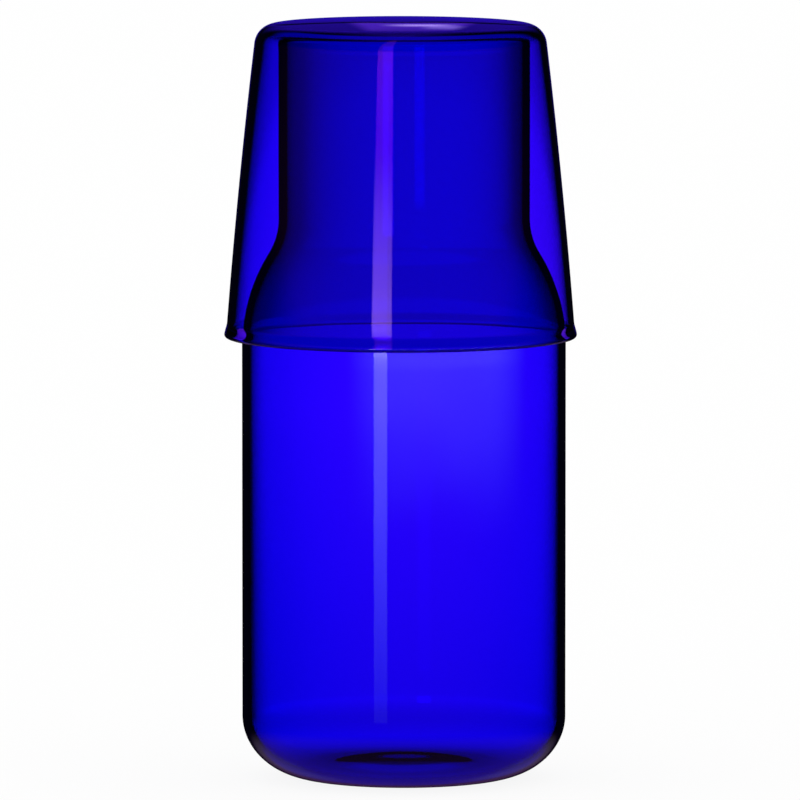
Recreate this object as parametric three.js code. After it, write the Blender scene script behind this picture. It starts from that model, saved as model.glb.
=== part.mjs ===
// A bedside water set in blue glass: a straight-sided carafe, and a tumbler that rests upside down on its rim.
// Millimetres, +Z up, origin at the middle of the carafe's foot, on the table.
import * as THREE from "three";

// Carafe: heights
const carafeHeight = 203;
const neckLength = 50.5;
const shoulderHeight = 34.6;
const baseCornerHeight = 16.9;

// Carafe: widths
const bodyDiameter = 88;
const shoulderStep = 9.9; // how far the neck stands in from the body
const footDiameter = 49.6;
const footWidth = 4.4; // flat ring that stands on the table

// Carafe: glass, thinnest around the top of the body
const baseWall = 2.4;
const bodyWall = 1.9;
const neckWall = 2.2;
const thinBelow = 18; // how far the thinnest wall reaches below the shoulder's foot
const thinAbove = 10; // and above it
const carafeFloor = 2.4;
const carafePunt = 2; // how far the middle of the base is pushed up
const neckSweep = 18; // radius of the hollow curve under the neck
const rimRound = 1.6; // height of the fire-polished edge

// Cup, standing the right way up
const cupHeight = 86.25;
const cupWall = 1.6; // at the lip
const cupBaseWall = 1.8;
const cupFloor = 2.95; // in the middle
const cupCorner = 5.8;
const cupBulge = 0.43; // how far the wall swells past a straight cone
const cupFlat = 8; // flat in the middle of the base, on which the cup stands
const cupCrown = 0.95; // how far the base curves up from there to the corner
const beadReach = 0.5; // how far the lip's bead stands out
const beadHeight = 0.9; // from its widest ring to the lip's edge
const beadFlare = 1.4; // how far below that ring the wall begins to flare

// Fit of the cup on the carafe
const seatClearance = 0.3; // rim to the cup's floor
const seatInset = 0.2; // the cup's flat floor ends this far inside the neck's outer face
const mouthGap = 1.8; // body to the inside of the cup's mouth

// Fineness of the turned surfaces
const turnSteps = 48;
const fineSteps = 8;
const coarseSteps = 6;

const quarter = Math.PI / 2;
const bodyRadius = bodyDiameter / 2;
const footRadius = footDiameter / 2;
const neckRadius = bodyRadius - shoulderStep;
const neckLevel = carafeHeight - neckLength;
const shoulderLevel = neckLevel - shoulderHeight;

// Points along an arc of a circle or an ellipse, both ends included.
function arc(centre, radiusAcross, radiusUp, from, to, steps) {
  const points = [];
  for (let i = 0; i <= steps; i++) {
    const angle = from + ((to - from) * i) / steps;
    const across = centre.x + radiusAcross * Math.cos(angle);
    points.push(new THREE.Vector2(across, centre.y + radiusUp * Math.sin(angle)));
  }
  return points;
}

// Points of a smooth dome with a flat middle, from its rim at the given radius to the axis.
function dome(radius, level, rise, steps) {
  const points = [];
  for (let i = 0; i <= steps; i++) {
    const share = 1 - i / steps;
    const lift = (rise * (1 + Math.cos(Math.PI * share * share))) / 2;
    points.push(new THREE.Vector2(radius * share, level + lift));
  }
  return points;
}

// Points of a base that is flat in the middle and curves up to its edge at the given radius and rise.
function crown(radius, flatRadius, rise, steps) {
  const points = [new THREE.Vector2(0, 0)];
  for (let i = 0; i <= steps; i++) {
    const share = i / steps;
    points.push(new THREE.Vector2(flatRadius + (radius - flatRadius) * share, rise * share * share));
  }
  return points;
}

// Points of a nearly straight wall that swells in the middle, from its low end up to the given share of it.
function swelledWall(low, high, swell, steps, until = 1) {
  const points = [];
  for (let i = 0; i <= steps; i++) {
    const share = (until * i) / steps;
    const point = new THREE.Vector2().lerpVectors(low, high, share);
    point.x += 4 * swell * share * (1 - share);
    points.push(point);
  }
  return points;
}

// A solid of revolution about Z from an outline that starts and ends on the axis.
function turned(name, outline, material) {
  const geometry = new THREE.LatheGeometry(outline, turnSteps);
  geometry.rotateX(quarter);
  const mesh = new THREE.Mesh(geometry, material);
  mesh.name = name;
  return mesh;
}

function blueGlass() {
  return new THREE.MeshStandardMaterial({
    color: 0x1400d8,
    roughness: 0.03,
    metalness: 0,
    transparent: true,
    opacity: 0.6,
  });
}

// Thickness of the carafe's wall at a height on its outer face.
function wallAt(level) {
  const stops = [
    [0, carafeFloor],
    [baseCornerHeight, baseWall],
    [shoulderLevel - thinBelow, bodyWall],
    [shoulderLevel + thinAbove, bodyWall],
    [neckLevel, neckWall],
  ];
  for (let i = 1; i < stops.length; i++) {
    const [low, start] = stops[i - 1];
    const [high, end] = stops[i];
    if (level <= high) return THREE.MathUtils.mapLinear(level, low, high, start, end);
  }
  return neckWall;
}

// The inner face that belongs to an outer face, given upwards.
function insideOf(outside) {
  return outside.map((point, i) => {
    const before = outside[Math.max(i - 1, 0)];
    const after = outside[Math.min(i + 1, outside.length - 1)];
    const along = after.clone().sub(before).normalize();
    const wall = wallAt(point.y);
    return new THREE.Vector2(point.x - wall * along.y, point.y + wall * along.x);
  });
}

// The outer S of the shoulder, from the body up to the neck.
function shoulder() {
  const turn = 2 * Math.atan(shoulderStep / shoulderHeight);
  const bodySweep = shoulderHeight / Math.sin(turn) - neckSweep;
  const bodyCentre = new THREE.Vector2(bodyRadius - bodySweep, shoulderLevel);
  const neckCentre = new THREE.Vector2(neckRadius + neckSweep, neckLevel);
  const lower = arc(bodyCentre, bodySweep, bodySweep, 0, turn, fineSteps);
  const upper = arc(neckCentre, neckSweep, neckSweep, Math.PI + turn, Math.PI, coarseSteps);
  return lower.concat(upper.slice(1));
}

function carafeOutline() {
  const puntRadius = footRadius - footWidth;
  const cornerCentre = new THREE.Vector2(footRadius, baseCornerHeight);
  const rimCentre = new THREE.Vector2(neckRadius - neckWall / 2, carafeHeight - rimRound);
  const outside = [
    ...arc(cornerCentre, bodyRadius - footRadius, baseCornerHeight, -quarter, 0, fineSteps),
    new THREE.Vector2(bodyRadius, shoulderLevel - thinBelow),
    ...shoulder(),
    new THREE.Vector2(neckRadius, rimCentre.y),
  ];
  return [
    ...dome(puntRadius, 0, carafePunt, coarseSteps).reverse(),
    ...outside,
    ...arc(rimCentre, neckWall / 2, rimRound, 0, Math.PI, coarseSteps).slice(1, -1),
    ...insideOf(outside).reverse(),
    ...dome(puntRadius, carafeFloor, carafePunt, coarseSteps),
  ];
}

// The end of the cup's outer wall, which flares from where it starts into the widest ring of the bead.
function flare(start, end, steps) {
  const points = [];
  for (let i = 1; i <= steps; i++) {
    const share = i / steps;
    const point = new THREE.Vector2().lerpVectors(start, end, share);
    point.x += beadReach * THREE.MathUtils.smoothstep(share, 0, 1);
    points.push(point);
  }
  return points;
}

function cupOutline() {
  const floorRadius = neckRadius - seatInset;
  const mouthRadius = bodyRadius + mouthGap + cupWall;
  const lipLevel = cupHeight - beadHeight;
  const widening = mouthRadius - floorRadius - cupCorner;
  const lean = Math.atan((widening + 4 * cupBulge) / (lipLevel - cupCorner));

  const tilt = Math.atan((2 * cupCrown) / (floorRadius - cupFlat / 2));
  const cornerCentre = new THREE.Vector2(floorRadius, cupCrown + cupCorner * Math.cos(tilt));
  const innerCorner = cupCorner - cupBaseWall;
  const innerCentre = new THREE.Vector2(floorRadius, cupFloor + innerCorner);
  const corner = arc(cornerCentre, cupCorner, cupCorner, tilt - quarter, -lean, coarseSteps);
  const cornerInside = arc(innerCentre, innerCorner, innerCorner, -lean, -quarter, coarseSteps);

  const lip = new THREE.Vector2(mouthRadius, lipLevel);
  const until = 1 - beadFlare / (lipLevel - corner.at(-1).y);
  const wall = swelledWall(corner.at(-1), lip, cupBulge, fineSteps, until);
  const beadHalf = (cupWall + beadReach) / 2;
  const beadCentre = new THREE.Vector2(mouthRadius + beadReach - beadHalf, lipLevel);
  const bead = arc(beadCentre, beadHalf, beadHeight, 0, Math.PI, fineSteps);
  const wallInside = swelledWall(cornerInside[0], bead.at(-1), cupBulge, fineSteps).reverse();
  return [
    ...crown(corner[0].x, cupFlat / 2, cupCrown, coarseSteps),
    ...corner.slice(1),
    ...wall.slice(1),
    ...flare(wall.at(-1), lip, coarseSteps),
    ...bead.slice(1),
    ...wallInside.slice(1, -1),
    ...cornerInside,
    new THREE.Vector2(0, cupFloor),
  ];
}

const carafe = turned("carafe", carafeOutline(), blueGlass());

// The cup is turned over, so that its floor lies on the carafe's rim. It is loose, and rests to one side by
// half of what its mouth allows.
const cup = turned("cup", cupOutline(), blueGlass());
cup.rotation.x = Math.PI;
cup.position.set(-mouthGap / 2, 0, carafeHeight + seatClearance + cupFloor);

const carafeSet = new THREE.Group();
carafeSet.add(carafe, cup);

export default carafeSet;
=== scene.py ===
"""A bedside water set in cobalt-blue glass: a straight-sided carafe with its cup upside down on the rim.

The sizes repeat those of the part's source, in metres. Here the two outlines are turned far more finely,
with the slight ripple of blown glass, and they stand in a plain studio with light panels around them.
"""
import logging
import math
from dataclasses import dataclass
from enum import Enum
from typing import Any, ClassVar

import bpy
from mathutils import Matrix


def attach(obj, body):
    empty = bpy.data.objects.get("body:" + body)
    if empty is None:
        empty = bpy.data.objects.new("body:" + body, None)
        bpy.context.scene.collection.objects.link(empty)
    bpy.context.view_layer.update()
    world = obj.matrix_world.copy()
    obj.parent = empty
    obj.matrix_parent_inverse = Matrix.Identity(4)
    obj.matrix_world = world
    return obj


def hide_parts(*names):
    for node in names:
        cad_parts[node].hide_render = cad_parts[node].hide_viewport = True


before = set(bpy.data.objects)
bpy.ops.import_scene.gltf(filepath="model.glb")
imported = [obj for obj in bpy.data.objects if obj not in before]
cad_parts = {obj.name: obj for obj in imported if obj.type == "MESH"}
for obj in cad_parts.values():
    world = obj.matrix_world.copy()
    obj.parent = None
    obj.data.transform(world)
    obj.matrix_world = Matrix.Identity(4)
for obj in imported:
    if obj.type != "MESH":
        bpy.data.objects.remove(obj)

LOG = logging.getLogger("water_set")
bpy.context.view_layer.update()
QUARTER = math.pi / 2
FULL_TURN = 2 * math.pi
Point = tuple[float, float]
Colour = tuple[float, float, float]

WHITE: Colour = (1.0, 1.0, 1.0)
DEEP_BLUE: Colour = (0.05, 0.008, 1.0)
INK_BLUE: Colour = (0.1, 0.0, 1.0)
PALE_BLUE: Colour = (0.7, 0.5, 1.0)
SOFT_BLUE: Colour = (0.6, 0.45, 1.0)
CLEAR_BLUE: Colour = (0.2, 0.05, 1.0)
PALE_VIOLET: Colour = (1.0, 0.42, 1.25)
VIOLET: Colour = (1.0, 0.05, 1.3)
DARK_VIOLET: Colour = (0.8, 0.1, 1.3)
BLUE_VIOLET: Colour = (1.0, 0.35, 1.6)
MAGENTA: Colour = (1.0, 0.1, 1.0)


class Seen(Enum):
    """Which rays from the glass meet a light panel."""

    THROUGH_ONE = "straight through one glass"
    THROUGH_BOTH = "straight through the cup and the carafe"
    WITHIN = "mirrored inside the glass"
    MIRRORED = "mirrored on the glass"


class NodeDesk:
    """Adds nodes to one tree and wires them up."""

    def __init__(self, tree: bpy.types.NodeTree) -> None:
        """Keeps the tree that the nodes go into."""
        self.tree = tree

    def add(self, kind: str, **settings: Any) -> bpy.types.Node:
        """Adds one node.

        Args:
            kind: The node's type.
            settings: Properties to set on it.

        Returns:
            The new node.
        """
        node = self.tree.nodes.new(kind)
        for name, value in settings.items():
            setattr(node, name, value)
        return node

    def feed(self, socket: bpy.types.NodeSocket, value: Any) -> None:
        """Wires a socket to another one, or writes a plain value on it.

        Args:
            socket: The input.
            value: An output socket, or a number or tuple.
        """
        if isinstance(value, bpy.types.NodeSocket):
            self.tree.links.new(value, socket)
        else:
            socket.default_value = value

    def math(self, operation: str, *values: Any) -> bpy.types.NodeSocket:
        """Adds a Math node.

        Args:
            operation: Its operation.
            values: Its inputs, in order.

        Returns:
            Its output.
        """
        node = self.add("ShaderNodeMath", operation=operation)
        for socket, value in zip(node.inputs, values):
            self.feed(socket, value)
        return node.outputs[0]

    def vector(self, operation: str, *values: Any, scale: Any = None) -> bpy.types.NodeSocket:
        """Adds a Vector Math node.

        Args:
            operation: Its operation.
            values: Its vector inputs, in order.
            scale: The factor of a SCALE.

        Returns:
            Its vector output.
        """
        node = self.add("ShaderNodeVectorMath", operation=operation)
        for socket, value in zip(node.inputs, values):
            self.feed(socket, value)
        if scale is not None:
            self.feed(node.inputs["Scale"], scale)
        return node.outputs["Vector"]

    def blend(self, share: Any, first: Any, second: Any) -> bpy.types.NodeSocket:
        """Adds a blend of two colour vectors.

        Args:
            share: How much of the second one shows.
            first: The vector at 0.
            second: The vector at 1.

        Returns:
            The blended vector.
        """
        node = self.add("ShaderNodeMix", data_type="VECTOR")
        self.feed(node.inputs["Factor"], share)
        self.feed(node.inputs[4], first)
        self.feed(node.inputs[5], second)
        return node.outputs[1]

    def ramp(
        self, value: Any, low: Any, high: Any, start: float = 0.0, end: float = 1.0
    ) -> bpy.types.NodeSocket:
        """Adds a smooth step from one level to another.

        Args:
            value: What is measured.
            low: Where the step begins.
            high: Where the step ends.
            start: The level before it.
            end: The level after it.

        Returns:
            The output socket.
        """
        node = self.add("ShaderNodeMapRange", interpolation_type="SMOOTHSTEP")
        for socket, number in zip(node.inputs, (value, low, high, start, end)):
            self.feed(socket, number)
        return node.outputs["Result"]


@dataclass(frozen=True)
class CobaltGlass:
    """Clear cobalt-blue glass, coloured through its thickness, faintly streaked and smudged."""

    ior: float = 1.5
    tint: Colour = (0.5, 0.0, 0.994)
    density: float = 2000.0
    clean: float = 0.004
    smudged: float = 0.03
    smudge_scale: float = 28.0
    smudge_detail: float = 5.0
    smudge_from: float = 0.45
    smudge_to: float = 0.75
    streak_scale: float = 55.0
    streak_detail: float = 1.0
    streak_stretch: tuple[float, float, float] = (1.0, 1.0, 0.25)
    streak_depth: float = 0.00002

    def material(self) -> bpy.types.Material:
        """Makes the glass.

        Returns:
            The material.
        """
        glass = bpy.data.materials.new("cobalt_glass")
        glass.use_nodes = True
        desk = NodeDesk(glass.node_tree)
        surface = glass.node_tree.nodes["Principled BSDF"]
        output = glass.node_tree.nodes["Material Output"]
        surface.inputs["Base Color"].default_value = (1.0, 1.0, 1.0, 1.0)
        surface.inputs["Transmission Weight"].default_value = 1.0
        surface.inputs["IOR"].default_value = self.ior
        place = desk.add("ShaderNodeTexCoord").outputs["Object"]

        smudge = desk.add("ShaderNodeTexNoise")
        desk.feed(smudge.inputs["Vector"], place)
        smudge.inputs["Scale"].default_value = self.smudge_scale
        smudge.inputs["Detail"].default_value = self.smudge_detail
        smudges = smudge.outputs["Fac"]
        roughness = desk.ramp(smudges, self.smudge_from, self.smudge_to, self.clean, self.smudged)
        desk.feed(surface.inputs["Roughness"], roughness)

        stretched = desk.vector("MULTIPLY", place, self.streak_stretch)
        streak = desk.add("ShaderNodeTexNoise")
        desk.feed(streak.inputs["Vector"], stretched)
        streak.inputs["Scale"].default_value = self.streak_scale
        streak.inputs["Detail"].default_value = self.streak_detail
        bump = desk.add("ShaderNodeBump")
        bump.inputs["Distance"].default_value = self.streak_depth
        desk.feed(bump.inputs["Height"], streak.outputs["Fac"])
        desk.feed(surface.inputs["Normal"], bump.outputs["Normal"])

        body = desk.add("ShaderNodeVolumeAbsorption")
        body.inputs["Color"].default_value = (*self.tint, 1.0)
        body.inputs["Density"].default_value = self.density
        desk.feed(output.inputs["Volume"], body.outputs["Volume"])
        return glass


class Lathe:
    """Geometry Nodes that turn an outline about an upright axis, with a slight ripple in the glass."""

    INPUTS: ClassVar[dict[str, str]] = {
        "Turn Steps": "NodeSocketInt",
        "Outline Points": "NodeSocketInt",
        "Edge First": "NodeSocketInt",
        "Edge Last": "NodeSocketInt",
        "Axis X": "NodeSocketFloat",
        "Inside Shift": "NodeSocketFloat",
        "Ripple Depth": "NodeSocketFloat",
        "Ripple Scale": "NodeSocketFloat",
        "Seed": "NodeSocketFloat",
        "Glass": "NodeSocketMaterial",
    }

    SEAM: ClassVar[float] = 1e-6
    MIDDLE: ClassVar[float] = 0.5
    INSIDE_NOISE: ClassVar[float] = 7.0
    RIPPLE_DETAIL: ClassVar[float] = 1.0

    def __init__(self) -> None:
        """Builds the tree once, for both pieces."""
        self.tree = bpy.data.node_groups.new("turned_glass", "GeometryNodeTree")
        self.keys: dict[str, str] = {}
        sides = self.tree.interface
        sides.new_socket("Geometry", in_out="INPUT", socket_type="NodeSocketGeometry")
        for name, kind in self.INPUTS.items():
            self.keys[name] = sides.new_socket(name, in_out="INPUT", socket_type=kind).identifier
        sides.new_socket("Geometry", in_out="OUTPUT", socket_type="NodeSocketGeometry")
        self._wire()

    def _wire(self) -> None:
        """Adds the nodes: a grid rolled up about the axis, closed, rippled and given its glass."""
        desk = NodeDesk(self.tree)
        given = desk.add("NodeGroupInput").outputs
        result = desk.add("NodeGroupOutput")

        grid = desk.add("GeometryNodeMeshGrid")
        across = desk.math("ADD", given["Turn Steps"], 1.0)
        desk.feed(grid.inputs["Vertices X"], across)
        desk.feed(grid.inputs["Vertices Y"], given["Outline Points"])
        spot = desk.add("ShaderNodeSeparateXYZ")
        desk.feed(spot.inputs[0], desk.add("GeometryNodeInputPosition").outputs[0])
        turn = desk.math("MULTIPLY", desk.math("ADD", spot.outputs["X"], self.MIDDLE), FULL_TURN)
        last = desk.math("SUBTRACT", given["Outline Points"], 1.0)
        along = desk.math("MULTIPLY", desk.math("ADD", spot.outputs["Y"], self.MIDDLE), last)
        number = desk.math("ROUND", along)

        sample = desk.add("GeometryNodeSampleIndex", data_type="FLOAT_VECTOR", domain="POINT")
        desk.feed(sample.inputs["Geometry"], given["Geometry"])
        desk.feed(sample.inputs["Value"], desk.add("GeometryNodeInputPosition").outputs[0])
        desk.feed(sample.inputs["Index"], number)
        outline = desk.add("ShaderNodeSeparateXYZ")
        desk.feed(outline.inputs[0], sample.outputs[0])
        place = desk.add("ShaderNodeCombineXYZ")
        radius = outline.outputs["X"]
        desk.feed(place.inputs["X"], desk.math("MULTIPLY", radius, desk.math("COSINE", turn)))
        desk.feed(place.inputs["Y"], desk.math("MULTIPLY", radius, desk.math("SINE", turn)))
        desk.feed(place.inputs["Z"], outline.outputs["Z"])
        inside = desk.ramp(number, given["Edge First"], given["Edge Last"])
        kept = desk.add("GeometryNodeStoreNamedAttribute", data_type="FLOAT", domain="POINT")
        desk.feed(kept.inputs["Geometry"], grid.outputs["Mesh"])
        kept.inputs["Name"].default_value = "inside"
        desk.feed(kept.inputs["Value"], inside)
        rolled = desk.add("GeometryNodeSetPosition")
        desk.feed(rolled.inputs["Geometry"], kept.outputs["Geometry"])
        desk.feed(rolled.inputs["Position"], place.outputs["Vector"])
        closed = desk.add("GeometryNodeMergeByDistance")
        desk.feed(closed.inputs["Geometry"], rolled.outputs["Geometry"])
        closed.inputs["Distance"].default_value = self.SEAM

        side = desk.add("GeometryNodeInputNamedAttribute", data_type="FLOAT")
        side.inputs["Name"].default_value = "inside"
        noise = desk.add("ShaderNodeTexNoise", noise_dimensions="4D")
        desk.feed(noise.inputs["Vector"], desk.add("GeometryNodeInputPosition").outputs[0])
        far_side = desk.math("MULTIPLY_ADD", side.outputs["Attribute"], self.INSIDE_NOISE, given["Seed"])
        desk.feed(noise.inputs["W"], far_side)
        desk.feed(noise.inputs["Scale"], given["Ripple Scale"])
        noise.inputs["Detail"].default_value = self.RIPPLE_DETAIL
        depth = desk.math("MULTIPLY", noise.outputs["Fac"], -1.0)
        inward = desk.math("MULTIPLY", given["Ripple Depth"], depth)
        dent = desk.vector("SCALE", desk.add("GeometryNodeInputNormal").outputs[0], scale=inward)
        aside = desk.add("ShaderNodeCombineXYZ")
        thinner = desk.math("MULTIPLY", side.outputs["Attribute"], given["Inside Shift"])
        desk.feed(aside.inputs["X"], desk.math("ADD", thinner, given["Axis X"]))
        rippled = desk.add("GeometryNodeSetPosition")
        desk.feed(rippled.inputs["Geometry"], closed.outputs["Geometry"])
        desk.feed(rippled.inputs["Offset"], desk.vector("ADD", dent, aside.outputs["Vector"]))

        smooth = desk.add("GeometryNodeSetShadeSmooth")
        desk.feed(smooth.inputs["Geometry"], rippled.outputs["Geometry"])
        real = desk.add("GeometryNodeRealizeInstances")
        desk.feed(real.inputs["Geometry"], smooth.outputs["Geometry"])
        dressed = desk.add("GeometryNodeSetMaterial")
        desk.feed(dressed.inputs["Geometry"], real.outputs["Geometry"])
        desk.feed(dressed.inputs["Material"], given["Glass"])
        desk.feed(result.inputs[0], dressed.outputs["Geometry"])

    def turn(self, name: str, outline: list[Point], sizes: dict[str, Any]) -> bpy.types.Object:
        """Turns one outline into a plain closed mesh.

        Args:
            name: The piece's name.
            outline: Radius and height of each point, from the axis under it to the axis inside.
            sizes: The tree's named inputs.

        Returns:
            The piece, with its place in its mesh.
        """
        mesh = bpy.data.meshes.new(name + "_outline")
        edges = [(i, i + 1) for i in range(len(outline) - 1)]
        mesh.from_pydata([(radius, 0.0, height) for radius, height in outline], edges, [])
        rough = bpy.data.objects.new(name + "_outline", mesh)
        bpy.context.scene.collection.objects.link(rough)
        lathe = rough.modifiers.new("lathe", "NODES")
        lathe.node_group = self.tree
        for label, value in sizes.items():
            lathe[self.keys[label]] = value
        lathe[self.keys["Outline Points"]] = len(outline)
        turned = rough.evaluated_get(bpy.context.evaluated_depsgraph_get())
        solid = bpy.data.meshes.new_from_object(turned)
        solid.name = name
        bpy.data.objects.remove(rough)
        piece = bpy.data.objects.new(name, solid)
        bpy.context.scene.collection.objects.link(piece)
        return piece


class Outline:
    """Points of a turned outline, radius first and height second."""

    @staticmethod
    def arc(centre: Point, across: float, up: float, start: float, end: float, steps: int) -> list[Point]:
        """Gives points along an arc of a circle or an ellipse, both ends included.

        Args:
            centre: Its middle.
            across: Its radius across.
            up: Its radius upwards.
            start: The first angle.
            end: The last angle.
            steps: How many steps it has.

        Returns:
            The points.
        """
        points = []
        for i in range(steps + 1):
            angle = start + (end - start) * i / steps
            points.append((centre[0] + across * math.cos(angle), centre[1] + up * math.sin(angle)))
        return points

    @staticmethod
    def dome(radius: float, level: float, rise: float, steps: int) -> list[Point]:
        """Gives points of a smooth dome with a flat middle, from its rim to its middle on the axis.

        Args:
            radius: The rim's radius.
            level: The rim's height.
            rise: How far the middle stands above the rim.
            steps: How many steps it has.

        Returns:
            The points.
        """
        points = []
        for i in range(steps + 1):
            share = 1 - i / steps
            points.append((radius * share, level + rise * (1 + math.cos(math.pi * share * share)) / 2))
        return points

    @staticmethod
    def crown(radius: float, flat_radius: float, rise: float, steps: int) -> list[Point]:
        """Gives points of a base that is flat in the middle and curves up to its edge.

        Args:
            radius: The edge's radius.
            flat_radius: Where the flat ends.
            rise: How far the edge stands above the flat.
            steps: How many steps the curve has.

        Returns:
            The points, from the axis outwards.
        """
        points = [(0.0, 0.0), (flat_radius / 2, 0.0)]
        for i in range(steps + 1):
            share = i / steps
            points.append((flat_radius + (radius - flat_radius) * share, rise * share * share))
        return points

    @staticmethod
    def run(first: Point, last: Point, swell: float, steps: int, until: float = 1.0) -> list[Point]:
        """Gives the points between two ends of a nearly straight wall, the ends left out.

        Args:
            first: Where it starts.
            last: Where it ends.
            swell: How far it stands out in the middle.
            steps: How many steps it has.
            until: The share of it that is wanted.

        Returns:
            The points.
        """
        points = []
        for i in range(1, steps):
            share = until * i / steps
            out = first[0] + (last[0] - first[0]) * share + 4 * swell * share * (1 - share)
            points.append((out, first[1] + (last[1] - first[1]) * share))
        return points

    @staticmethod
    def inset(points: list[Point], walls: list[float]) -> list[Point]:
        """Gives the inner face of a wall, from its outer face.

        Args:
            points: The outer face, upwards.
            walls: The wall's thickness at each point.

        Returns:
            The inner face, upwards.
        """
        inner = []
        for i, (point, wall) in enumerate(zip(points, walls)):
            before = points[max(i - 1, 0)]
            after = points[min(i + 1, len(points) - 1)]
            across = after[0] - before[0]
            up = after[1] - before[1]
            length = math.hypot(across, up)
            inner.append((point[0] - wall * up / length, point[1] + wall * across / length))
        return inner


@dataclass
class Carafe:
    """The vessel: straight body, wide base corner, S-shaped shoulder, straight neck and polished rim."""

    height: float = 0.203
    neck_length: float = 0.0505
    shoulder_height: float = 0.0346
    base_corner_height: float = 0.0169
    body_radius: float = 0.044
    shoulder_step: float = 0.0099
    foot_radius: float = 0.0248
    foot_width: float = 0.0044
    base_wall: float = 0.0024
    wall: float = 0.0019
    neck_wall: float = 0.0022
    thin_below: float = 0.018
    thin_above: float = 0.01
    floor: float = 0.0024
    punt: float = 0.002
    neck_sweep: float = 0.018
    rim_round: float = 0.0016
    punt_steps: int = 20
    base_steps: int = 30
    body_steps: int = 32
    lower_steps: int = 26
    upper_steps: int = 16
    neck_steps: int = 16
    rim_steps: int = 16
    turn_steps: int = 256
    off_centre: float = 0.0001
    ripple_depth: float = 0.00004
    ripple_scale: float = 22.0
    seed: float = 3.0

    @property
    def neck_radius(self) -> float:
        """Gives the neck's outer radius."""
        return self.body_radius - self.shoulder_step

    def _outer_face(self) -> list[Point]:
        """Gives the outer face.

        Returns:
            The points, from the foot's outer edge up to the rim.
        """
        bend = 2 * math.atan(self.shoulder_step / self.shoulder_height)
        body_sweep = self.shoulder_height / math.sin(bend) - self.neck_sweep
        shoulder_level = self.height - self.neck_length - self.shoulder_height
        neck_level = self.height - self.neck_length
        corner = (self.foot_radius, self.base_corner_height)
        body_centre = (self.body_radius - body_sweep, shoulder_level)
        neck_centre = (self.neck_radius + self.neck_sweep, neck_level)
        rim = (self.neck_radius, self.height - self.rim_round)

        reach = self.body_radius - self.foot_radius
        sweep = self.neck_sweep
        base = Outline.arc(corner, reach, self.base_corner_height, -QUARTER, 0, self.base_steps)
        lower = Outline.arc(body_centre, body_sweep, body_sweep, 0, bend, self.lower_steps)
        upper = Outline.arc(neck_centre, sweep, sweep, math.pi + bend, math.pi, self.upper_steps)
        body = Outline.run(base[-1], lower[0], 0.0, self.body_steps)
        neck = Outline.run(upper[-1], rim, 0.0, self.neck_steps)
        return base + body + lower + upper[1:] + neck + [rim]

    def _wall_at(self, level: float) -> float:
        """Gives the wall's thickness, which is least where the body was blown widest.

        Args:
            level: The height on the outer face.

        Returns:
            The thickness.
        """
        neck_level = self.height - self.neck_length
        shoulder_level = neck_level - self.shoulder_height
        stops = (
            (0.0, self.floor),
            (self.base_corner_height, self.base_wall),
            (shoulder_level - self.thin_below, self.wall),
            (shoulder_level + self.thin_above, self.wall),
            (neck_level, self.neck_wall),
        )
        for (low, start), (high, end) in zip(stops, stops[1:]):
            if level <= high:
                return start + (end - start) * (level - low) / (high - low)
        return self.neck_wall

    def outline(self) -> tuple[list[Point], int, int]:
        """Gives the whole outline.

        Returns:
            The points, and the numbers of the first and last ones on the rim.
        """
        punt_radius = self.foot_radius - self.foot_width
        rim = (self.neck_radius - self.neck_wall / 2, self.height - self.rim_round)
        outside = self._outer_face()
        inside = Outline.inset(outside, [self._wall_at(level) for _, level in outside])[::-1]
        edge = Outline.arc(rim, self.neck_wall / 2, self.rim_round, 0, math.pi, self.rim_steps)

        points = Outline.dome(punt_radius, 0.0, self.punt, self.punt_steps)[::-1] + outside
        first = len(points)
        points += edge[1:-1]
        last = len(points) - 1
        points += inside + Outline.dome(punt_radius, self.floor, self.punt, self.punt_steps)
        return points, first, last

    def build(self, lathe: Lathe, glass: bpy.types.Material) -> bpy.types.Object:
        """Turns the carafe and puts it on its body.

        Args:
            lathe: The turning tree.
            glass: Its glass.

        Returns:
            The piece.
        """
        points, first, last = self.outline()
        sizes = {
            "Turn Steps": self.turn_steps,
            "Edge First": first,
            "Edge Last": last,
            "Axis X": 0.0,
            "Inside Shift": self.off_centre,
            "Ripple Depth": self.ripple_depth,
            "Ripple Scale": self.ripple_scale,
            "Seed": self.seed,
            "Glass": glass,
        }
        piece = lathe.turn("carafe_glass", points, sizes)
        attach(piece, "carafe")
        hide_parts("carafe")
        return piece


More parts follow.
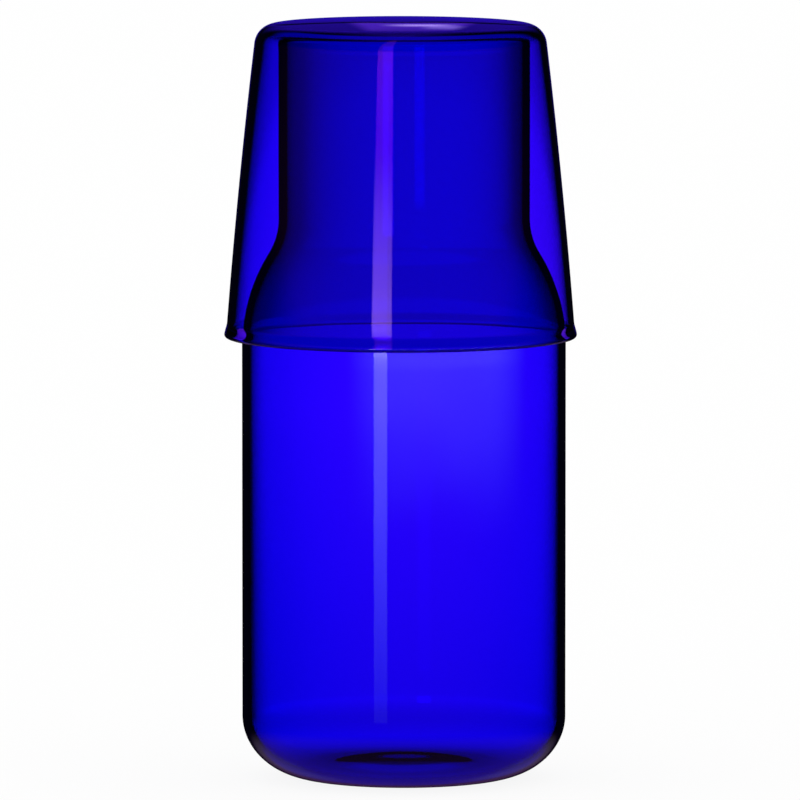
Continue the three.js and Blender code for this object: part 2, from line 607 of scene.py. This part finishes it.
@dataclass
class Cup:
    """The tapered cup with a rounded bead at its lip, upside down over the carafe's neck."""

    carafe: Carafe
    height: float = 0.08625
    wall: float = 0.0016
    base_wall: float = 0.0018
    floor: float = 0.00295
    corner: float = 0.0058
    bulge: float = 0.00043
    flat_radius: float = 0.004
    crown: float = 0.00095
    bead: float = 0.0005
    bead_height: float = 0.0009
    flare: float = 0.0014
    seat_clearance: float = 0.0003
    seat_inset: float = 0.0002
    mouth_gap: float = 0.0018
    crown_steps: int = 24
    corner_steps: int = 24
    wall_steps: int = 40
    flare_steps: int = 12
    bead_steps: int = 24
    inner_wall_steps: int = 36
    inner_corner_steps: int = 20
    floor_steps: int = 12
    turn_steps: int = 256
    off_centre: float = 0.0002
    ripple_depth: float = 0.00004
    ripple_scale: float = 22.0
    seed: float = 11.0

    def _outer_wall(self, low: Point, high: Point) -> list[Point]:
        """Gives the outer face of the wall, which flares into the bead at its upper end.

        Args:
            low: Where it starts, at the corner.
            high: Where it would end without the bead.

        Returns:
            The points between the ends, and the widest point of the bead.
        """
        until = 1 - self.flare / (high[1] - low[1])
        points = Outline.run(low, high, self.bulge, self.wall_steps, until)
        start = points[-1]
        for i in range(1, self.flare_steps + 1):
            share = i / self.flare_steps
            out = self.bead * share * share * (3 - 2 * share)
            radius = start[0] + (high[0] - start[0]) * share + out
            points.append((radius, start[1] + (high[1] - start[1]) * share))
        return points

    def upright(self) -> tuple[list[Point], int, int]:
        """Gives the outline of the cup the right way up.

        Returns:
            The points, and the numbers of the first and last ones on the lip's bead.
        """
        floor_radius = self.carafe.neck_radius - self.seat_inset
        mouth_radius = self.carafe.body_radius + self.mouth_gap + self.wall
        lip_level = self.height - self.bead_height
        half = (self.wall + self.bead) / 2
        widening = mouth_radius - floor_radius - self.corner
        lean = math.atan((widening + 4 * self.bulge) / (lip_level - self.corner))

        tilt = math.atan(2 * self.crown / (floor_radius - self.flat_radius))
        inner = self.corner - self.base_wall
        outer_centre = (floor_radius, self.crown + self.corner * math.cos(tilt))
        inner_centre = (floor_radius, self.floor + inner)
        corner = Outline.arc(
            outer_centre, self.corner, self.corner, tilt - QUARTER, -lean, self.corner_steps
        )
        inner_steps = self.inner_corner_steps
        corner_inside = Outline.arc(inner_centre, inner, inner, -lean, -QUARTER, inner_steps)
        bead_centre = (mouth_radius + self.bead - half, lip_level)
        bead = Outline.arc(bead_centre, half, self.bead_height, 0, math.pi, self.bead_steps)

        points = Outline.crown(corner[0][0], self.flat_radius, self.crown, self.crown_steps)
        points += corner[1:] + self._outer_wall(corner[-1], (mouth_radius, lip_level))
        first = len(points)
        points += bead[1:-1]
        last = len(points) - 1
        middle = (0.0, self.floor)
        points.append(bead[-1])
        points += Outline.run(bead[-1], corner_inside[0], self.bulge, self.inner_wall_steps)
        points += corner_inside
        points += Outline.run(corner_inside[-1], middle, 0.0, self.floor_steps) + [middle]
        return points, first, last

    def build(self, lathe: Lathe, glass: bpy.types.Material) -> bpy.types.Object:
        """Turns the cup over, seats it on the carafe and puts it on its body.

        Args:
            lathe: The turning tree.
            glass: Its glass.

        Returns:
            The piece.
        """
        points, first, last = self.upright()
        seat = self.carafe.height + self.seat_clearance + self.floor
        turned_over = [(radius, seat - height) for radius, height in reversed(points)]
        sizes = {
            "Turn Steps": self.turn_steps,
            "Edge First": len(points) - 1 - first,
            "Edge Last": len(points) - 1 - last,
            "Axis X": -self.mouth_gap / 2,
            "Inside Shift": self.off_centre,
            "Ripple Depth": self.ripple_depth,
            "Ripple Scale": self.ripple_scale,
            "Seed": self.seed,
            "Glass": glass,
        }
        piece = lathe.turn("cup_glass", turned_over, sizes)
        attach(piece, "cup")
        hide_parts("cup")
        return piece


@dataclass(frozen=True)
class LightPanel:
    """A soft-edged light panel far from the glass, given by the directions that it fills, in degrees.

    Azimuth 0 is straight behind the glass, and it grows towards +X. Each soft edge is centred on its limit.
    """

    HALF_TURN: ClassVar[float] = 180.0

    seen: Seen
    azimuth: float
    half_width: float
    low: float
    high: float
    soft_side: float
    soft_low: float
    soft_high: float
    strength: float
    colour: Colour = WHITE

    def light(self, desk: NodeDesk, azimuth: Any, elevation: Any) -> bpy.types.NodeSocket:
        """Adds the panel's nodes.

        Args:
            desk: The world's nodes.
            azimuth: The ray's azimuth in degrees.
            elevation: The ray's elevation in degrees.

        Returns:
            The panel's light as a colour vector.
        """
        offset = desk.math("SUBTRACT", azimuth, self.azimuth)
        turn = desk.math("WRAP", offset, self.HALF_TURN, -self.HALF_TURN)
        away = desk.math("ABSOLUTE", turn)
        inner = self.half_width - self.soft_side / 2
        sides = desk.ramp(away, inner, inner + self.soft_side, 1.0, 0.0)
        rise = self.soft_low / 2
        fall = self.soft_high / 2
        foot = desk.ramp(elevation, self.low - rise, self.low + rise)
        head = desk.ramp(elevation, self.high - fall, self.high + fall, 1.0, 0.0)
        share = desk.math("MULTIPLY", sides, desk.math("MULTIPLY", foot, head))
        level = desk.math("MULTIPLY", share, self.strength)
        return desk.vector("SCALE", self.colour, scale=level)


@dataclass
class Studio:
    """Pale floor, light panels all round and the camera at the photograph's angle.

    The floor shows through the glass out to near, and is gone at far. Beneath the glass its glow is
    turned down to under_glow by distance from the axis, a painted shadow. The camera sees floor_glow of it
    as plain white, and the rest keeps the shadow. A ray was mirrored once or twice when its count is past
    that limit, and passed both glasses when past one_vessel.
    """

    floor_radius: float = 9.0
    floor_steps: int = 96
    floor_colour: Colour = (0.96, 0.96, 0.96)
    floor_level: float = -0.0002
    floor_glow: float = 0.9
    near: float = 0.06
    far: float = 0.15
    under_from: float = 0.012
    under_to: float = 0.07
    under_glow: float = 0.36
    dark: float = 0.002
    deep_glow: float = 0.01
    once: float = 0.5
    twice: float = 1.5
    one_vessel: float = 4.5
    bounces: int = 32
    mirror_bounces: int = 16
    target: tuple[float, float, float] = (-0.00106, 0.0, 0.10291)
    distance: float = 3.2466
    elevation: float = math.radians(5.384)
    lens: float = 537.69

    FLAT: ClassVar[tuple[float, float, float]] = (1.0, 1.0, 0.0)
    PANELS: ClassVar[tuple[LightPanel, ...]] = (
        # Behind one glass: a broad panel, dimmer towards the top, with a narrow one at each side of it
        LightPanel(
            Seen.THROUGH_ONE, azimuth=0.5, half_width=12.0, soft_side=20.0,
            low=-7.4, high=40.0, soft_low=4.0, soft_high=20.0, strength=0.78,
        ),
        LightPanel(
            Seen.THROUGH_ONE, azimuth=0.5, half_width=12.0, soft_side=20.0,
            low=-7.4, high=-3.3, soft_low=4.0, soft_high=0.6, strength=0.47,
        ),
        LightPanel(
            Seen.THROUGH_ONE, azimuth=-10.5, half_width=5.0, soft_side=5.0,
            low=-7.4, high=40.0, soft_low=4.0, soft_high=20.0, strength=0.3,
        ),
        LightPanel(
            Seen.THROUGH_ONE, azimuth=9.5, half_width=5.0, soft_side=5.0,
            low=-7.4, high=40.0, soft_low=4.0, soft_high=20.0, strength=0.32,
        ),
        # Behind one glass, in other views: round the sides and the front, and below
        LightPanel(
            Seen.THROUGH_ONE, azimuth=180.0, half_width=142.0, soft_side=8.0,
            low=-8.0, high=40.0, soft_low=5.4, soft_high=20.0, strength=0.95,
        ),
        LightPanel(
            Seen.THROUGH_ONE, azimuth=0.0, half_width=400.0, soft_side=1.0,
            low=-100.0, high=-7.4, soft_low=1.0, soft_high=4.0, strength=0.62,
        ),
        LightPanel(
            Seen.THROUGH_ONE, azimuth=0.0, half_width=400.0, soft_side=1.0,
            low=-100.0, high=-12.0, soft_low=1.0, soft_high=4.0, strength=0.3,
        ),
        # Behind both glasses: a narrow panel, dimmer towards the top, on a broad one
        LightPanel(
            Seen.THROUGH_BOTH, azimuth=1.0, half_width=6.0, soft_side=12.0,
            low=-8.0, high=8.0, soft_low=5.4, soft_high=6.0, strength=0.5,
        ),
        LightPanel(
            Seen.THROUGH_BOTH, azimuth=1.0, half_width=6.0, soft_side=12.0,
            low=-8.0, high=-3.6, soft_low=5.4, soft_high=0.4, strength=0.12,
        ),
        LightPanel(
            Seen.THROUGH_BOTH, azimuth=0.0, half_width=34.0, soft_side=12.0,
            low=-8.0, high=40.0, soft_low=5.4, soft_high=20.0, strength=0.28,
        ),
        # Behind both glasses, in other views: round the sides and the front, and below
        LightPanel(
            Seen.THROUGH_BOTH, azimuth=180.0, half_width=142.0, soft_side=8.0,
            low=-8.0, high=40.0, soft_low=5.4, soft_high=20.0, strength=0.75,
        ),
        LightPanel(
            Seen.THROUGH_BOTH, azimuth=0.0, half_width=400.0, soft_side=1.0,
            low=-100.0, high=-8.0, soft_low=1.0, soft_high=5.4, strength=0.65,
        ),
        # Inside the glass: the tall lamp, the base and the cup's floor
        LightPanel(
            Seen.WITHIN, azimuth=-165.0, half_width=5.0, soft_side=1.2,
            low=-5.2, high=10.0, soft_low=4.4, soft_high=2.0, strength=4.0,
        ),
        LightPanel(
            Seen.WITHIN, azimuth=0.0, half_width=30.0, soft_side=40.0,
            low=-100.0, high=-22.0, soft_low=1.0, soft_high=8.0, strength=0.25,
        ),
        LightPanel(
            Seen.WITHIN, azimuth=0.0, half_width=35.0, soft_side=20.0, colour=INK_BLUE,
            low=25.0, high=100.0, soft_low=10.0, soft_high=1.0, strength=0.35,
        ),
        # Mirrored: the tall lamp at the front left, from the body up to the cup's top
        LightPanel(
            Seen.MIRRORED, azimuth=-163.4, half_width=4.7, soft_side=0.8,
            low=-5.2, high=1.0, soft_low=4.4, soft_high=6.0, strength=3.8,
        ),
        LightPanel(
            Seen.MIRRORED, azimuth=-167.5, half_width=6.5, soft_side=1.0, colour=PALE_VIOLET,
            low=0.8, high=5.8, soft_low=5.0, soft_high=4.5, strength=3.5,
        ),
        LightPanel(
            Seen.MIRRORED, azimuth=-168.0, half_width=6.0, soft_side=1.0, colour=VIOLET,
            low=6.0, high=13.0, soft_low=4.0, soft_high=7.0, strength=1.2,
        ),
        LightPanel(
            Seen.MIRRORED, azimuth=-168.0, half_width=6.0, soft_side=1.0, colour=DARK_VIOLET,
            low=9.0, high=75.0, soft_low=4.0, soft_high=20.0, strength=0.6,
        ),
        # Mirrored: the pale patch on the body and a veil over the upper half
        LightPanel(
            Seen.MIRRORED, azimuth=152.0, half_width=52.0, soft_side=40.0,
            low=-5.4, high=-0.5, soft_low=1.4, soft_high=4.0, strength=0.8,
        ),
        LightPanel(
            Seen.MIRRORED, azimuth=180.0, half_width=90.0, soft_side=60.0, colour=MAGENTA,
            low=2.0, high=14.0, soft_low=2.0, soft_high=6.0, strength=0.1,
        ),
        # Mirrored: the table, and a sheen at each side of the base
        LightPanel(
            Seen.MIRRORED, azimuth=0.0, half_width=400.0, soft_side=1.0, colour=BLUE_VIOLET,
            low=-100.0, high=-20.0, soft_low=1.0, soft_high=16.0, strength=0.1,
        ),
        LightPanel(
            Seen.MIRRORED, azimuth=-27.0, half_width=14.0, soft_side=14.0,
            low=-44.0, high=-18.0, soft_low=12.0, soft_high=8.0, strength=0.06,
        ),
        LightPanel(
            Seen.MIRRORED, azimuth=27.0, half_width=14.0, soft_side=14.0,
            low=-44.0, high=-18.0, soft_low=12.0, soft_high=8.0, strength=0.07,
        ),
        # Mirrored: blue over the cup's top, from the back to overhead
        LightPanel(
            Seen.MIRRORED, azimuth=0.0, half_width=12.0, soft_side=12.0, colour=DEEP_BLUE,
            low=-3.0, high=4.4, soft_low=2.0, soft_high=0.6, strength=0.36,
        ),
        LightPanel(
            Seen.MIRRORED, azimuth=0.0, half_width=5.0, soft_side=8.0, colour=DEEP_BLUE,
            low=5.3, high=14.0, soft_low=0.8, soft_high=12.0, strength=0.36,
        ),
        LightPanel(
            Seen.MIRRORED, azimuth=0.0, half_width=14.0, soft_side=20.0, colour=DEEP_BLUE,
            low=16.0, high=80.0, soft_low=16.0, soft_high=30.0, strength=0.9,
        ),
        LightPanel(
            Seen.MIRRORED, azimuth=0.0, half_width=400.0, soft_side=1.0, colour=DEEP_BLUE,
            low=64.0, high=100.0, soft_low=28.0, soft_high=1.0, strength=1.2,
        ),
        # Mirrored: the bright arc on the cup's top
        LightPanel(
            Seen.MIRRORED, azimuth=0.2, half_width=0.24, soft_side=0.4, colour=PALE_BLUE,
            low=6.4, high=7.6, soft_low=1.0, soft_high=1.6, strength=0.8,
        ),
        LightPanel(
            Seen.MIRRORED, azimuth=0.45, half_width=0.18, soft_side=0.2, colour=SOFT_BLUE,
            low=7.4, high=9.2, soft_low=1.2, soft_high=1.6, strength=0.3,
        ),
        LightPanel(
            Seen.MIRRORED, azimuth=0.12, half_width=0.52, soft_side=0.2, colour=CLEAR_BLUE,
            low=5.2, high=10.5, soft_low=1.0, soft_high=4.0, strength=0.4,
        ),
    )

    def world(self) -> None:
        """Gives plain white light all round, and shows the panels only to rays that come from the glass."""
        world = bpy.data.worlds.new("studio")
        world.use_nodes = True
        bpy.context.scene.world = world
        world.cycles.sampling_method = "NONE"
        desk = NodeDesk(world.node_tree)
        background = world.node_tree.nodes["Background"]
        way = desk.add("ShaderNodeSeparateXYZ")
        desk.feed(way.inputs[0], desk.add("ShaderNodeTexCoord").outputs["Generated"])
        azimuth = desk.math("DEGREES", desk.math("ARCTAN2", way.outputs["X"], way.outputs["Y"]))
        elevation = desk.math("DEGREES", desk.math("ARCSINE", way.outputs["Z"]))
        seen: dict[Seen, Any] = {choice: (self.dark,) * 3 for choice in Seen}
        for panel in self.PANELS:
            light = panel.light(desk, azimuth, elevation)
            seen[panel.seen] = desk.vector("ADD", light, seen[panel.seen])
        rays = desk.add("ShaderNodeLightPath").outputs
        both = desk.math("GREATER_THAN", rays["Transmission Depth"], self.one_vessel)
        bounced = desk.math("GREATER_THAN", rays["Glossy Depth"], self.once)
        straight = desk.blend(both, seen[Seen.THROUGH_ONE], seen[Seen.THROUGH_BOTH])
        deep = desk.math("GREATER_THAN", rays["Glossy Depth"], self.twice)
        within = desk.blend(deep, seen[Seen.WITHIN], (self.deep_glow,) * 3)
        through = desk.blend(bounced, straight, within)
        mirrored = desk.blend(rays["Is Glossy Ray"], WHITE, seen[Seen.MIRRORED])
        shown = desk.blend(rays["Is Transmission Ray"], mirrored, through)
        desk.feed(background.inputs["Color"], shown)
        background.inputs["Strength"].default_value = 1.0

    def floor(self) -> bpy.types.Object:
        """Lays the pale floor.

        Returns:
            The floor.
        """
        rim = []
        for i in range(self.floor_steps):
            angle = FULL_TURN * i / self.floor_steps
            x = self.floor_radius * math.cos(angle)
            y = self.floor_radius * math.sin(angle)
            rim.append((x, y, self.floor_level))
        mesh = bpy.data.meshes.new("floor")
        mesh.from_pydata(rim, [], [list(range(self.floor_steps))])
        mesh.materials.append(self._floor_paper())
        floor = bpy.data.objects.new("floor", mesh)
        bpy.context.scene.collection.objects.link(floor)
        return floor

    def _floor_paper(self) -> bpy.types.Material:
        """Makes the floor's paper, which straight views through the glass meet only near by.

        Returns:
            The material.
        """
        pale = bpy.data.materials.new("pale_floor")
        pale.use_nodes = True
        pale.node_tree.nodes.clear()
        desk = NodeDesk(pale.node_tree)
        paper = desk.add("ShaderNodeBsdfDiffuse")
        paper.inputs["Color"].default_value = (*self.floor_colour, 1.0)
        place = desk.add("ShaderNodeTexCoord").outputs["Object"]
        spot = desk.vector("MULTIPLY", place, self.FLAT)
        reach = desk.add("ShaderNodeVectorMath", operation="LENGTH")
        desk.feed(reach.inputs[0], spot)
        close_by = desk.ramp(reach.outputs["Value"], self.near, self.far, 1.0, 0.0)
        rays = desk.add("ShaderNodeLightPath").outputs
        direct = rays["Is Camera Ray"]
        bounced = desk.math("GREATER_THAN", rays["Glossy Depth"], self.once)
        unbroken = desk.math("SUBTRACT", 1.0, bounced)
        straight = desk.math("MULTIPLY", rays["Is Transmission Ray"], unbroken)
        glow = desk.add("ShaderNodeEmission")
        distance = reach.outputs["Value"]
        # Painted shadow: the floor's glow, seen straight through the glass, is turned down near the axis by
        # distance alone
        under = desk.ramp(distance, self.under_from, self.under_to, self.under_glow, 1.0)
        painted_shadow_glow = desk.math("MULTIPLY", straight, under)
        desk.feed(glow.inputs["Strength"], desk.math("MAXIMUM", direct, painted_shadow_glow))
        table = desk.add("ShaderNodeMixShader")
        plain_white = desk.math("MULTIPLY", direct, self.floor_glow)
        desk.feed(table.inputs[0], desk.math("MAXIMUM", straight, plain_white))
        desk.feed(table.inputs[1], paper.outputs[0])
        desk.feed(table.inputs[2], glow.outputs[0])
        near_by = desk.math("MULTIPLY", close_by, straight)
        shown = desk.math("MAXIMUM", near_by, desk.math("SUBTRACT", 1.0, rays["Is Glossy Ray"]))
        mix = desk.add("ShaderNodeMixShader")
        desk.feed(mix.inputs[0], shown)
        desk.feed(mix.inputs[1], desk.add("ShaderNodeBsdfTransparent").outputs[0])
        desk.feed(mix.inputs[2], table.outputs[0])
        desk.feed(desk.add("ShaderNodeOutputMaterial").inputs["Surface"], mix.outputs[0])
        return pale

    def camera(self) -> bpy.types.Object:
        """Puts the camera where the photograph was taken from.

        Returns:
            The camera.
        """
        data = bpy.data.cameras.new("camera")
        data.lens = self.lens
        camera = bpy.data.objects.new("camera", data)
        away = self.distance * math.cos(self.elevation)
        above = self.distance * math.sin(self.elevation)
        camera.location = (self.target[0], self.target[1] - away, self.target[2] + above)
        camera.rotation_euler = (QUARTER - self.elevation, 0.0, 0.0)
        bpy.context.scene.collection.objects.link(camera)
        bpy.context.scene.camera = camera
        return camera

    def set_up(self) -> None:
        """Builds the studio and allows enough bounces for four walls of glass."""
        self.camera()
        self.floor()
        self.world()
        scene = bpy.context.scene
        scene.view_settings.view_transform = "Standard"
        scene.cycles.max_bounces = self.bounces
        scene.cycles.transmission_bounces = self.bounces
        scene.cycles.glossy_bounces = self.mirror_bounces
        scene.cycles.transparent_max_bounces = self.mirror_bounces


def main() -> None:
    """Builds the studio and the two glasses, in order."""
    logging.basicConfig(level=logging.INFO, format="%(message)s")
    Studio().set_up()
    glass = CobaltGlass().material()
    lathe = Lathe()
    carafe = Carafe()
    for piece in (carafe.build(lathe, glass), Cup(carafe).build(lathe, glass)):
        LOG.info("%s: %d faces", piece.name, len(piece.data.polygons))


if __name__ == "__main__":
    main()
